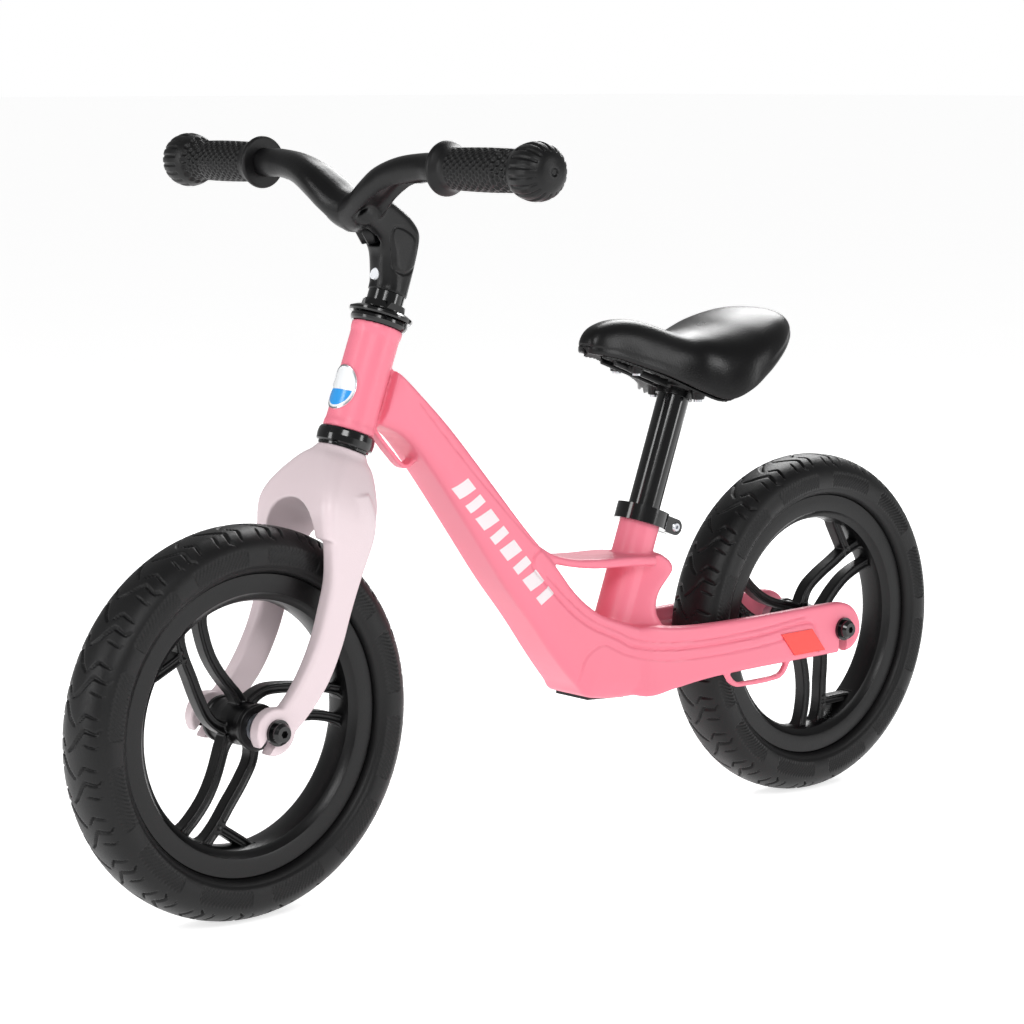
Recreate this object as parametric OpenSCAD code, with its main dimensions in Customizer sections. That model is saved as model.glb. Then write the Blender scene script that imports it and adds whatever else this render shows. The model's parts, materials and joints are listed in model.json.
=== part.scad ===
// Child's balance bike, in millimetres.
// +X points forward, +Y to the rider's left, +Z up. The origin is on the ground, midway between the axles.

/* [Wheels] */
// Outer diameter of both tyres
wheel_d = 300; // [296:1:304]
// Width of a tyre
tyre_w = 53.6; // [50:0.2:54]
// Distance between the two axles
wheelbase = 622; // [620:1:626]
// Diameter where a tyre meets its rim
rim_d = 231; // [228:1:232]
// Width of a rim
rim_w = 33.8; // [32:0.2:35]
// Outer diameter of a hub
hub_d = 36; // [34:0.5:38]
// Length of a hub
hub_w = 48; // [46:0.5:50]
// Diameter of both axles
axle_d = 10; // [9.8:0.1:10]
// Radial play of an axle in its bearings
bearing_play = 0.05; // [0.02:0.01:0.1]

/* [Steering] */
// Angle of the steering axis from the ground, in degrees
head_angle = 69; // [68.5:0.1:69.5]
// Distance of the front axle ahead of the steering axis
fork_offset = 23.6; // [22:0.2:25]
// Height of the lower end of the head tube
head_base_z = 360.8; // [359:0.1:362]
// Length of the head tube
head_len = 84.7; // [84:0.1:86]
// Outer diameter of the head tube
head_d = 40; // [39:0.5:41]
// Outer diameter of the steerer tube
steerer_d = 25.4; // [25:0.1:25.6]
// Width over the fork's dropouts
fork_w = 93; // [92:0.5:95]

/* [Frame] */
// Width of the down tube
beam_w = 46; // [44:0.5:48]
// Width over the rear dropouts
stay_w = 98; // [97:0.5:100]
// Angle of the seat tube from the ground, in degrees
seat_angle = 69.3; // [69:0.1:69.6]
// Outer diameter of the seat tube
seat_tube_d = 34; // [33.6:0.1:34.4]
// Outer diameter of the seat post
post_d = 27.2; // [27:0.1:27.3]
// Height of the top of the seat tube
seat_top_z = 268; // [266:1:270]

/* [Handlebar] */
// Width over the grips
bar_w = 452; // [440:2:460]
// Height of the grips' centre line
grip_z = 563; // [560:1:566]
// Distance of the grips ahead of the middle of the wheelbase
grip_x = 199; // [197:1:201]
// Diameter of the bar inside the grips
bar_d = 22; // [21:0.5:22.5]
// Largest diameter of a grip's barrel
grip_d = 32.4; // [31:0.2:34]

/* [Saddle] */
// Width of the saddle
saddle_w = 130; // [126:1:134]
// Height that the saddle stands above its lowest drawn position
saddle_lift = 0; // [-5:1:5]

/* [Hidden] */

smooth = 64;
wheel_r = wheel_d / 2;
axle_r = axle_d / 2;
front_x = wheelbase / 2;
rear_x = -wheelbase / 2;
pink = [0.96, 0.55, 0.62];
pale_pink = [0.93, 0.87, 0.88];
soft_black = [0.10, 0.10, 0.11];
gloss_black = [0.05, 0.05, 0.06];
steel = [0.72, 0.72, 0.74];

// Steering axis: a point at the lower end of the head tube, and how the parts stack up along it
head_tilt = 90 - head_angle;
head_x = front_x - fork_offset / sin(head_angle) - (head_base_z - wheel_r) / tan(head_angle);
steerer_r = steerer_d / 2;
head_bore_r = 17;
cup_r = 21;
cup_pocket_r = 18.5;
lower_cup_s = -11.5;
crown_s = -13.6;
race_gap = 0.3;
upper_cup_s = head_len + 6.6;
race_top_s = upper_cup_s + race_gap + 5.3;
washer_top_s = race_top_s + 1;
nut_top_s = washer_top_s + 5;
socket_s = nut_top_s + 8.1;
steerer_top_s = 134;
steerer_base_s = -66;
stem_bolt_s = 121.5;

// Seat axis: the top of the seat tube, and how the parts stack up along it
seat_tilt = 90 - seat_angle;
seat_x = -111.6;
post_r = post_d / 2;
post_bore_r = post_r + 0.05;
bore_depth = 135;
post_base_s = -62;
collar_s = 101;
collar_h = 9;
post_top_s = collar_s + collar_h - 1;
clamp_bolt_x = -34;
clamp_bolt_s = -3.4;

// Wheels: hub, bearings and what sits beside them
bearing_r = 11;
bearing_w = 6;
bearing_in = hub_w / 2 - bearing_w - 0.5;
hub_bore_r = 8.5;
fork_face = fork_w / 2;
fork_inner = fork_face - 11;
stay_face = stay_w / 2;
stay_inner = stay_face - 10;
axle_washer_t = 2.5;
bolt_head_h = 6.5;
bolt_r = 3;

// ---------- functions ----------

// A rounded rectangle: half sizes a and b, corner radius r, k points to a corner
function rounded(a, b, r, k = 5) = [for (q = [0:3]) for (i = [0:k - 1])
    let (t = 90 * q + 90 * i / (k - 1), sx = (q == 0 || q == 3) ? 1 : -1, sy = q < 2 ? 1 : -1)
    [sx * (a - r) + r * cos(t), sy * (b - r) + r * sin(t)]];

// A ring of a loft between side-view points top and bottom, half width w, centred on y
function ring(top, bottom, y, w, r, k = 5) =
    let (mid = (top + bottom) / 2, half = norm(top - bottom) / 2, up = (top - bottom) / (2 * half))
    [for (p = rounded(w, half, min(r, w - 0.01, half - 0.01), k))
        [mid[0] + up[0] * p[1], y - p[0], mid[1] + up[1] * p[1]]];

// A point on a Catmull-Rom curve through the list p, at segment i and fraction t
function spline_at(p, i, t) =
    let (a = p[max(i - 1, 0)], b = p[i], c = p[i + 1], d = p[min(i + 2, len(p) - 1)])
    0.5 * ((2 * b) + (c - a) * t + (2 * a - 5 * b + 4 * c - d) * t * t
        + (3 * b - a - 3 * c + d) * t * t * t);
function spline(p, steps) = concat([for (i = [0:len(p) - 2]) for (k = [0:steps - 1])
    spline_at(p, i, k / steps)], [p[len(p) - 1]]);

// Points of a flat ribbon of half width h along the line p
function side_of(p, i) = let (d = p[min(i + 1, len(p) - 1)] - p[max(i - 1, 0)]) [-d[1], d[0]] / norm(d);
function ribbon(p, h) = concat([for (i = [0:len(p) - 1]) p[i] + h * side_of(p, i)],
    [for (i = [len(p) - 1:-1:0]) p[i] - h * side_of(p, i)]);

// A point given by radius and angle
function polar(r, a) = [r * cos(a), r * sin(a)];

// A point in side view at distance s up the steering axis and u ahead of it
function steer_point(s, u) = [head_x - s * cos(head_angle) + u * sin(head_angle),
    head_base_z + s * sin(head_angle) + u * cos(head_angle)];

// ---------- shared modules ----------

// A closed skin over a list of rings that each have as many points
module loft(rings) {
    n = len(rings[0]);
    m = len(rings);
    sides = [for (i = [0:m - 2]) for (j = [0:n - 1])
        let (a = i * n + j, b = i * n + (j + 1) % n, c = b + n, d = a + n) each [[a, d, c], [a, c, b]]];
    first_cap = [[for (j = [0:n - 1]) j]];
    last_cap = [[for (j = [n - 1:-1:0]) (m - 1) * n + j]];
    polyhedron([for (r = rings) each r], concat(sides, first_cap, last_cap), convexity = 8);
}

module mirrored_y() {
    children();
    mirror([0, 1, 0]) children();
}

module on_steering(s) translate([head_x, 0, head_base_z]) rotate([0, -head_tilt, 0])
    translate([0, 0, s]) children();

module on_seat(s) translate([seat_x, 0, seat_top_z]) rotate([0, -seat_tilt, 0])
    translate([0, 0, s]) children();

// The children's Z becomes +Y, with their origin at an axle
module on_axle(x, y = 0) translate([x, y, wheel_r]) rotate([-90, 0, 0]) children();

// A side-view outline, extruded evenly to both sides of y
module side_plate(points, thick, y = 0) translate([0, y, 0]) rotate([90, 0, 0])
    linear_extrude(thick, center = true) polygon(points);

module tube(r_out, r_in, h) difference() {
    cylinder(r = r_out, h = h, $fn = smooth);
    translate([0, 0, -1]) cylinder(r = r_in, h = h + 2, $fn = smooth);
}

// ---------- frame ----------

// Side-view stations of the beam: upper edge, lower edge, half width
beam = [
    [[180, 417], [194, 376], 14],
    [[162.5, 397.5], [158, 360], beam_w / 2 - 4],
    [[124.5, 361.5], [131, 324], beam_w / 2 - 0.5],
    [[85, 319], [97, 278], beam_w / 2],
    [[42, 274], [62, 230], beam_w / 2],
    [[10, 241], [31, 193], beam_w / 2 + 0.5],
    [[-14, 213], [6, 161], beam_w / 2 + 1.5],
    [[-36, 195], [-17, 135], beam_w / 2 + 4],
    [[-54, 186.5], [-31, 123.5], beam_w / 2 + 7],
    [[-85, 176], [-80, 120], beam_w / 2 + 11],
    [[-112, 171], [-110, 126], beam_w / 2 + 14],
    [[-130, 168], [-130, 131], beam_w / 2 + 16]
];

// Stations of the left stay: x, top, bottom, inner face, outer face
stay = [
    [-58, 176, 127, 12, 25],
    [-85, 178, 118.5, 16, 36.5],
    [-112, 175, 122.5, 26, 42],
    [-135, 174, 126, 33, 45.5],
    [-160, 174, 128, 37, 47.5],
    [-200, 174, 129, stay_inner, stay_face],
    [-298, 174, 129, stay_inner, stay_face],
    [-312, 173, 129, stay_inner, stay_face],
    [-323, 169, 130.5, stay_inner, stay_face],
    [-330, 162, 136, stay_inner, stay_face],
    [-334, 154, 143, stay_inner, stay_face]
];

// Horizontal stations of the web behind the seat tube: height, rear end, half width
web = [
    [150, -125, 33],
    [164, -122, 33],
    [174, -115, 30],
    [184, -111, 26],
    [194, -112, 24],
    [204, -116, 24],
    [214, -124, 25.5],
    [221, -129, 26],
    [228, -126, 25.5],
    [234.5, -117, 24]
];
function web_front(z) = seat_x + (seat_top_z - z) / tan(seat_angle) + 3;
function web_half(t) = let (f = web_front(t[0]), r = t[1], w = t[2])
    [[f, 14.5], [(f + r) / 2 + 2, (14.5 + w) / 2 + 2.5], [r + 9, w], [r + 3, w - 5], [r, w - 13]];

module stay_body() loft([for (t = stay)
    ring([t[0], t[1]], [t[0], t[2]], (t[3] + t[4]) / 2, (t[4] - t[3]) / 2, 4)]);

module web_body() loft([for (t = web) let (half = web_half(t)) concat(
    [for (i = [0:4]) [half[i][0], half[i][1], t[0]]],
    [for (i = [4:-1:0]) [half[i][0], -half[i][1], t[0]]])]);

// The shelf that joins the down tube and the seat tube
shelf_top = spline([[24, 256], [8, 247], [-14, 241], [-45, 238], [-80, 236.5], [-104, 234]], 3);
shelf_low = spline([[-104, 226], [-80, 229], [-39, 231], [-12, 235], [12, 241], [20, 244]], 3);
module shelf() intersection() {
    side_plate(concat(shelf_top, shelf_low), 60);
    translate([0, 0, 200]) linear_extrude(80)
        polygon(concat(spline([[30, -21], [0, -22], [-45, -25], [-85, -27], [-108, -25]], 3),
            spline([[-108, 25], [-85, 27], [-45, 25], [0, 22], [30, 21]], 3)));
}

// Loop for a strap, below each stay
module strap_loop() difference() {
    side_plate([[-168, 132], [-176, 115], [-236, 115], [-243, 132]], 5, stay_face - 4);
    side_plate([[-182, 127.5], [-185, 120.8], [-231, 120.8], [-234, 127.5]], 6, stay_face - 4);
}

// Loop for a strap, under the top of the down tube
module front_loop() side_plate(ribbon(spline([[186, 366], [174.6, 352.5], [165, 342], [156, 332.8],
    [150, 330], [142, 334], [134, 341]], 3), 1.8), 11);

module axle_slot(x, y) translate([x, y, wheel_r]) {
    rotate([90, 0, 0]) cylinder(r = axle_r + 0.1, h = 40, center = true, $fn = smooth);
    children();
}

module frame_moulding() color(pink) difference() {
    union() {
        loft([for (t = beam) ring(t[0], t[1], 0, t[2], 8)]);
        mirrored_y() stay_body();
        mirrored_y() strap_loop();
        web_body();
        shelf();
        front_loop();
        on_steering(0) cylinder(d = head_d, h = head_len, $fn = smooth);
        on_seat(-100) cylinder(d = seat_tube_d, h = 100, $fn = smooth);
    }
    on_steering(-1) cylinder(r = head_bore_r, h = head_len + 2, $fn = smooth);
    on_seat(-bore_depth) cylinder(r = post_bore_r, h = bore_depth + 1, $fn = smooth);
    mirrored_y() axle_slot(rear_x, stay_face - 5)
        translate([-axle_r - 0.1, -20, -60]) cube([axle_d + 0.2, 40, 60]);
}

// ---------- headset ----------

// A cup standing on z = 0, with its mouth up and its skirt down in the head tube
module headset_cup(body_h) rotate_extrude($fn = smooth) polygon([[15, -12], [head_bore_r, -12],
        [head_bore_r, 0], [cup_r, 0],
        [cup_r + 1, 1.5], [cup_r + 1.6, body_h / 2], [cup_r + 1.2, body_h - 1.2], [cup_r + 0.4, body_h],
        [cup_pocket_r, body_h], [cup_pocket_r, 1], [15, 1]]);

module ball_bearing(h) difference() {
    cylinder(r = cup_pocket_r, h = h, $fn = smooth);
    translate([0, 0, -1]) cylinder(r = steerer_r + bearing_play, h = h + 2, $fn = smooth);
}

module headset_upper_cup() color(gloss_black) on_steering(head_len) headset_cup(upper_cup_s - head_len);
module headset_lower_cup() color(gloss_black) on_steering(0) mirror([0, 0, 1]) headset_cup(-lower_cup_s);
module headset_upper_bearing() color(steel) on_steering(head_len + 1) ball_bearing(5);
module headset_lower_bearing() color(steel) on_steering(-6) ball_bearing(5);

module headset_top_race() color(gloss_black) on_steering(upper_cup_s + race_gap)
    difference() {
        union() {
            cylinder(r1 = 24.4, r2 = 25, h = 1.4, $fn = smooth);
            translate([0, 0, 1.4]) cylinder(r = 25, h = 1.8, $fn = smooth);
            translate([0, 0, 3.2]) cylinder(r1 = 25, r2 = 21, h = 2.1, $fn = smooth);
        }
        translate([0, 0, -1]) cylinder(r = steerer_r, h = 8, $fn = smooth);
    }
module lock_washer() color(gloss_black) on_steering(race_top_s)
    tube(17, steerer_r, washer_top_s - race_top_s);
module lock_nut() color(gloss_black) on_steering(washer_top_s) difference() {
    intersection() {
        cylinder(r = 18.4, h = nut_top_s - washer_top_s, $fn = 6);
        cylinder(r1 = 18.4, r2 = 17, h = nut_top_s - washer_top_s, $fn = smooth);
    }
    translate([0, 0, -1]) cylinder(r = steerer_r, h = 12, $fn = smooth);
}
module steerer_spacer() color(gloss_black) on_steering(nut_top_s)
    tube(14.3, steerer_r, socket_s - nut_top_s);
module crown_race() color(gloss_black) on_steering(crown_s)
    tube(cup_r - 1, steerer_r, lower_cup_s - race_gap - crown_s);

module steerer_tube() color(steel) on_steering(steerer_base_s) difference() {
    cylinder(r = steerer_r, h = steerer_top_s - steerer_base_s, $fn = smooth);
    translate([0, 0, -1]) cylinder(r = steerer_r - 2, h = 300, $fn = smooth);
    translate([-30, 0, stem_bolt_s - steerer_base_s]) rotate([0, 90, 0])
        cylinder(r = bolt_r, h = 60, $fn = smooth);
}

// An oval disc that follows the round front of the head tube
module head_badge() color([0.82, 0.86, 0.92]) on_steering(30.4) intersection() {
    translate([0, 0, -30]) tube(head_d / 2 + 0.7, head_d / 2, 60);
    rotate([0, 90, 0]) scale([18, 14.5, 1]) cylinder(r = 1, h = 40, $fn = smooth);
}

// ---------- frame fittings ----------

module reflector() color([0.95, 0.30, 0.22])
    side_plate([[-231, 155], [-270, 155], [-287, 134.5], [-248, 134.5]], 1.2, stay_face + 0.5);
module reflector_left() reflector();
module reflector_right() mirror([0, 1, 0]) reflector();

module belly_pad() color(soft_black) side_plate([[-30.5, 124.5], [-30.5, 121.3], [-72, 118.2],
    [-72, 121.5]], 38);

module seat_clamp() color(gloss_black) on_seat(0) difference() {
    union() {
        translate([0, 0, -10.3]) cylinder(r = 22.5, h = 13.8, $fn = smooth);
        translate([clamp_bolt_x, 0, clamp_bolt_s]) rotate([90, 0, 0])
            cylinder(r = 6.9, h = 19, center = true, $fn = smooth);
        translate([clamp_bolt_x, -9.5, -10.3]) cube([-clamp_bolt_x - 10, 19, 13.8]);
    }
    translate([0, 0, -12]) cylinder(d = seat_tube_d, h = 12, $fn = smooth);
    translate([0, 0, -1]) cylinder(r = post_r + 0.5, h = 8, $fn = smooth);
    translate([clamp_bolt_x - 9, -1.5, -12]) cube([-clamp_bolt_x + 5, 3, 20]);
    translate([clamp_bolt_x, 0, clamp_bolt_s]) rotate([90, 0, 0])
        cylinder(r = bolt_r, h = 40, center = true, $fn = smooth);
    translate([clamp_bolt_x, 7, clamp_bolt_s]) rotate([-90, 0, 0]) cylinder(r = 4.5, h = 5, $fn = smooth);
}

// A socket-head bolt along +Z, its head's seat at z = 0 and its shank below
module socket_bolt(head_r, head_h, shank) difference() {
    union() {
        cylinder(r = head_r, h = head_h * 0.6, $fn = smooth);
        translate([0, 0, head_h * 0.6]) cylinder(r1 = head_r, r2 = head_r * 0.75, h = head_h * 0.4, $fn = smooth);
        translate([0, 0, -shank]) cylinder(r = bolt_r, h = shank, $fn = smooth);
    }
    translate([0, 0, head_h * 0.4]) cylinder(r = head_r * 0.38, h = head_h, $fn = 6);
}

module seat_clamp_bolt() color(steel) on_seat(clamp_bolt_s) translate([clamp_bolt_x, 7, 0])
    rotate([-90, 0, 0]) socket_bolt(4.5, 3.4, 22);
module seat_clamp_nut() color(steel) on_seat(clamp_bolt_s) translate([clamp_bolt_x, -9.5, 0]) rotate([90, 0, 0])
    difference() {
        cylinder(r = 5.8, h = 5, $fn = 6);
        translate([0, 0, -1]) cylinder(r = bolt_r, h = 8, $fn = smooth);
    }

// ---------- axles ----------

module axle(x, face) on_axle(x) difference() {
    cylinder(r = axle_r, h = 2 * face - 1, center = true, $fn = smooth);
    for (side = [0, 1]) mirror([0, 0, side]) translate([0, 0, face - 18])
        cylinder(r = bolt_r, h = 20, $fn = smooth);
}
module axle_bolts(x, face) mirrored_y() on_axle(x, face + axle_washer_t) socket_bolt(8, bolt_head_h, 18);
module washers(x, face) mirrored_y() on_axle(x, face) tube(10, bolt_r, axle_washer_t);
// Cone between a bearing and a dropout
module spacers(x, inner) mirrored_y() on_axle(x, hub_w / 2 - 0.2) difference() {
    union() {
        cylinder(r = 8, h = 2, $fn = smooth);
        translate([0, 0, 2]) cylinder(r = 10, h = inner - hub_w / 2 - 1.8, $fn = smooth);
    }
    translate([0, 0, -1]) cylinder(r = axle_r, h = 30, $fn = smooth);
}

module rear_axle() color(steel) axle(rear_x, stay_face);
module rear_axle_bolts() color(gloss_black) axle_bolts(rear_x, stay_face);
module rear_washers() color(gloss_black) washers(rear_x, stay_face);
module rear_spacers() color(steel) spacers(rear_x, stay_inner);
module front_axle() color(steel) axle(front_x, fork_face);
module front_axle_bolts() color(gloss_black) axle_bolts(front_x, fork_face);
module front_washers() color(gloss_black) washers(front_x, fork_face);
module front_spacers() color(steel) spacers(front_x, fork_inner);

// ---------- wheels ----------

// Tyre section, radius against width: a full tread, tapering to the rim
tyre_mid_r = wheel_r - 21;
function bulge(t, power) = sign(t) * pow(abs(t), power);
tyre_section = concat(
    [for (t = [-90:7.5:90]) [tyre_mid_r + 21 * bulge(cos(t), 0.9), tyre_w / 2 * bulge(sin(t), 0.9)]],
    [for (t = [15:15:75]) [tyre_mid_r - (tyre_mid_r - rim_d / 2) * sin(t),
        rim_w / 2 + (tyre_w - rim_w) / 2 * cos(t)]],
    [[rim_d / 2, rim_w / 2], [rim_d / 2, 13], [rim_d / 2 - 7, 13], [rim_d / 2 - 7, -13],
        [rim_d / 2, -13], [rim_d / 2, -rim_w / 2]],
    [for (t = [75:-15:15]) [tyre_mid_r - (tyre_mid_r - rim_d / 2) * sin(t),
        -rim_w / 2 - (tyre_w - rim_w) / 2 * cos(t)]]);

module tyre(x) on_axle(x) rotate_extrude($fn = 128) polygon(tyre_section);

rim_in_r = 93;
rim_section = [[rim_d / 2, rim_w / 2], [rim_d / 2, 13], [rim_d / 2 - 7, 13], [rim_d / 2 - 7, -13],
    [rim_d / 2, -13], [rim_d / 2, -rim_w / 2], [101, -rim_w / 2], [99.5, -rim_w / 2 + 1], [95, -12],
    [rim_in_r, -6], [rim_in_r, 6], [95, 12], [99.5, rim_w / 2 - 1], [101, rim_w / 2]];

// Centre lines of one pair of spokes, radius against angle from the pair's middle, and their short branch
plain_spoke = [[98, 6.5], [80, 3.5], [60, 1.5], [43, 3.5], [30, 10], [16, 24]];
branched_spoke = [[98, -7.5], [80, -13], [60, -20], [43, -32], [30, -48], [16, -66]];
branch = [[98, -34], [91, -30], [84, -22], [79, -13]];
spoke_half_w = 4;
spoke_depth = 12;
function spoke_line(list, turn) = spline([for (p = list) polar(p[0], p[1] + turn)], 4);

module spokes(turn) for (k = [0:2]) for (line = [plain_spoke, branched_spoke, branch])
    linear_extrude(spoke_depth, center = true) polygon(ribbon(spoke_line(line, turn + 120 * k), spoke_half_w));

// The wheel's plane is drawn with X forward and Z up, seen along -Y
module rim(x, turn) difference() {
    union() {
        on_axle(x) rotate_extrude($fn = 128) polygon(rim_section);
        on_axle(x) cylinder(d = hub_d, h = hub_w, center = true, $fn = smooth);
        translate([x, 0, wheel_r]) rotate([90, 0, 0]) spokes(turn);
    }
    on_axle(x) cylinder(r = hub_bore_r, h = 100, center = true, $fn = smooth);
    mirrored_y() on_axle(x, bearing_in) cylinder(r = bearing_r, h = 40, $fn = smooth);
}

module bearing(x) on_axle(x, bearing_in) difference() {
    tube(bearing_r, axle_r + bearing_play, bearing_w);
    translate([0, 0, bearing_w - 0.6]) tube(bearing_r - 1.6, axle_r + 2, 2);
}
module hub_sleeve(x) on_axle(x, -bearing_in + 0.1) tube(7.4, axle_r + 0.3, 2 * bearing_in - 0.2);

front_turn = 61;
rear_turn = 26;
module front_tyre() color(soft_black) tyre(front_x);
module rear_tyre() color(soft_black) tyre(rear_x);
module front_rim() color(gloss_black) rim(front_x, front_turn);
module rear_rim() color(gloss_black) rim(rear_x, rear_turn);
module front_bearing_left() color(steel) bearing(front_x);
module front_bearing_right() color(steel) mirror([0, 1, 0]) bearing(front_x);
module rear_bearing_left() color(steel) bearing(rear_x);
module rear_bearing_right() color(steel) mirror([0, 1, 0]) bearing(rear_x);
module front_hub_sleeve() color(steel) hub_sleeve(front_x);
module rear_hub_sleeve() color(steel) hub_sleeve(rear_x);

// ---------- fork ----------

// Crown stations: distance along the steering axis, front, rear, half width, corner radius
crown = [
    [crown_s, 22, -20, 20, 17],
    [-26, 26, -21, 26, 14],
    [-40, 31, -21, 35, 12],
    [-54, 34, -20, 42, 10],
    [-68, 34, -18.5, fork_face - 1, 9],
    [-88, 27, -14, fork_face, 8]
];

// Blade stations in side view: front point, rear point, inner face, outer face
blade = [
    [[258, 300], [211, 302], 30, fork_face],
    [[256, 280], [215, 284], 30.5, fork_face],
    [[257, 258], [228, 255], 31, fork_face],
    [[263, 236], [238, 230], 31.5, fork_face],
    [[272, 212], [247, 205], 32.5, fork_face],
    [[287, 187], [260, 180], fork_inner - 1.5, fork_face],
    [[304, 168], [277, 160], fork_inner - 0.5, fork_face],
    [[316, 163], [292, 147], fork_inner, fork_face]
];
arch_r = 30;
arch_s = -91;
eye_r = 18;
slot_angle = -50;

module fork() color(pale_pink) difference() {
    union() {
        loft([for (t = crown) ring(steer_point(t[0], t[2]), steer_point(t[0], t[1]), 0, t[3], t[4])]);
        mirrored_y() loft([for (t = blade) ring(t[1], t[0], (t[2] + t[3]) / 2, (t[3] - t[2]) / 2, 5)]);
        mirrored_y() on_axle(front_x, fork_inner) cylinder(r = eye_r, h = fork_face - fork_inner, $fn = smooth);
    }
    on_steering(arch_s) rotate([0, 90, 0]) cylinder(r = arch_r, h = 120, center = true, $fn = smooth);
    on_steering(arch_s - 60) translate([-60, -arch_r, 0]) cube([120, 2 * arch_r, 60]);
    on_steering(steerer_base_s) cylinder(r = steerer_r, h = 80, $fn = smooth);
    mirrored_y() axle_slot(front_x, fork_face - 5) rotate([0, -slot_angle, 0])
        translate([0, -20, -axle_r - 0.1]) cube([60, 40, axle_d + 0.2]);
}

// ---------- handlebar ----------

// Neck stations in side view: rear point, front point, half width, corner radius
neck = [
    [steer_point(socket_s, -15.5), steer_point(socket_s, 15.5), 15.5, 14],
    [[143, 482], [177, 488], 15, 12],
    [[140, 497], [177, 498], 15, 11],
    [[139, 510], [181, 506], 15, 10],
    [[147, 521], [187, 511], 16, 10],
    [[161, 531], [194, 516], 18, 9],
    [[176, 539], [200, 520], 20, 9],
    [[192, 542], [207, 523], 20, 9]
];

// Arm stations: distance from the middle, x, z, half depth, half height
arm = [
    [-1, 192, 531, 17, 11],
    [10, 193, 535, 17, 11],
    [24, 195, 545, 16, 10.5],
    [40, 198, 554.5, 14, 10],
    [62, grip_x, 561, 12, 10],
    [86, grip_x, grip_z, bar_d / 2, bar_d / 2]
];
grip_start = 108;
grip_len = bar_w / 2 - grip_start;
dome_r = 21.5;

module left_arm() {
    loft([for (t = arm) [for (p = rounded(t[4], t[3], min(t[3], t[4]) - 0.6))
        [t[1] + p[1], t[0], t[2] + p[0]]]]);
    translate([grip_x, 84, grip_z]) rotate([-90, 0, 0])
        cylinder(r = bar_d / 2, h = grip_start + grip_len - dome_r - 10 - 84, $fn = smooth);
}

module handlebar() color(soft_black) difference() {
    union() {
        loft([for (t = neck) ring(t[1], t[0], 0, t[2], t[3])]);
        mirrored_y() left_arm();
    }
    on_steering(socket_s - 1) cylinder(r = steerer_r, h = steerer_top_s - socket_s + 1, $fn = smooth);
    on_steering(stem_bolt_s) translate([-10, 0, 0]) rotate([0, 90, 0])
        cylinder(r = bolt_r, h = 60, $fn = smooth);
    on_steering(stem_bolt_s) translate([steerer_r + 1.2, 0, 0]) rotate([0, 90, 0])
        cylinder(r = 4.5, h = 60, $fn = smooth);
}

module stem_bolt() color(steel) on_steering(stem_bolt_s) translate([-10, 0, 0]) rotate([0, 90, 0])
    cylinder(r = bolt_r, h = steerer_r + 11.2, $fn = smooth);
module stem_plug() color([0.9, 0.9, 0.92]) on_steering(stem_bolt_s) translate([steerer_r + 1.2, 0, 0])
    rotate([0, 90, 0]) cylinder(r = 4.5, h = 3.8, $fn = smooth);

grip_section = concat([[0, grip_len - dome_r - 10], [bar_d / 2, grip_len - dome_r - 10], [bar_d / 2, 0],
    [18.6, 0], [20, 0.8], [20.5, 2.4], [20, 4.4], [18, 7], [16, 10.5], [15.4, 14]],
    [for (t = [10:20:170]) [15.4 + (grip_d / 2 - 15.4) * sin(t), 14 + (grip_len - 54) * t / 180]],
    [for (t = [-38:12:82]) [dome_r * cos(t), grip_len - dome_r + dome_r * sin(t)]],
    [[0, grip_len]]);
module grip() translate([grip_x, grip_start, grip_z]) rotate([-90, 0, 0])
    rotate_extrude($fn = smooth) polygon(grip_section);
module grip_left() color(soft_black) grip();
module grip_right() color(soft_black) mirror([0, 1, 0]) grip();

// ---------- saddle ----------

// Stations from the nose to the back: x, top, skirt edge, half width as a share of the full half width
saddle = [
    [-43, 413, 407.5, 0.077],
    [-46, 420.5, 406, 0.154],
    [-54, 427, 404.5, 0.215],
    [-70, 431, 401, 0.269],
    [-90, 431, 394, 0.354],
    [-110, 427, 386.8, 0.423],
    [-130, 420.5, 378, 0.515],
    [-146, 417, 370, 0.646],
    [-160, 417.5, 364.2, 0.862],
    [-178, 421.5, 372.3, 0.985],
    [-198, 427.5, 386, 1.0],
    [-218, 432, 398.5, 0.923],
    [-234, 434, 407.5, 0.792],
    [-247, 432.5, 413, 0.615],
    [-256, 427, 416.5, 0.369],
    [-259, 421, 418, 0.154]
];
saddle_half = saddle_w / 2;

// Rounded upper half and flat lower side of the cover
function cover_ring(t) = let (w = t[3] * saddle_half, h = t[1] - t[2]) concat(
    [for (a = [0:15:180]) [t[0], -w * bulge(cos(a), 0.8), t[2] + h * bulge(sin(a), 0.75) + saddle_lift]],
    [for (f = [-0.5, 0.5]) [t[0], -w * f, t[2] - 1 + saddle_lift]]);

// The shell hangs below the cover, inset from its edge
function shell_ring(t) = let (w = t[3] * saddle_half * 0.86, low = t[2] - 1.1, deep = min(5, w / 2))
    [for (p = rounded(w, deep / 2, deep / 2 - 0.05, 3)) [t[0], -p[0], low - deep / 2 + p[1] + saddle_lift]];

module saddle_cover() color(soft_black) loft([for (t = saddle) cover_ring(t)]);
module saddle_shell() color(soft_black) difference() {
    loft([for (i = [2:len(saddle) - 3]) shell_ring(saddle[i])]);
    on_seat(collar_s) cylinder(r = 16, h = collar_h, $fn = smooth);
}

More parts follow.
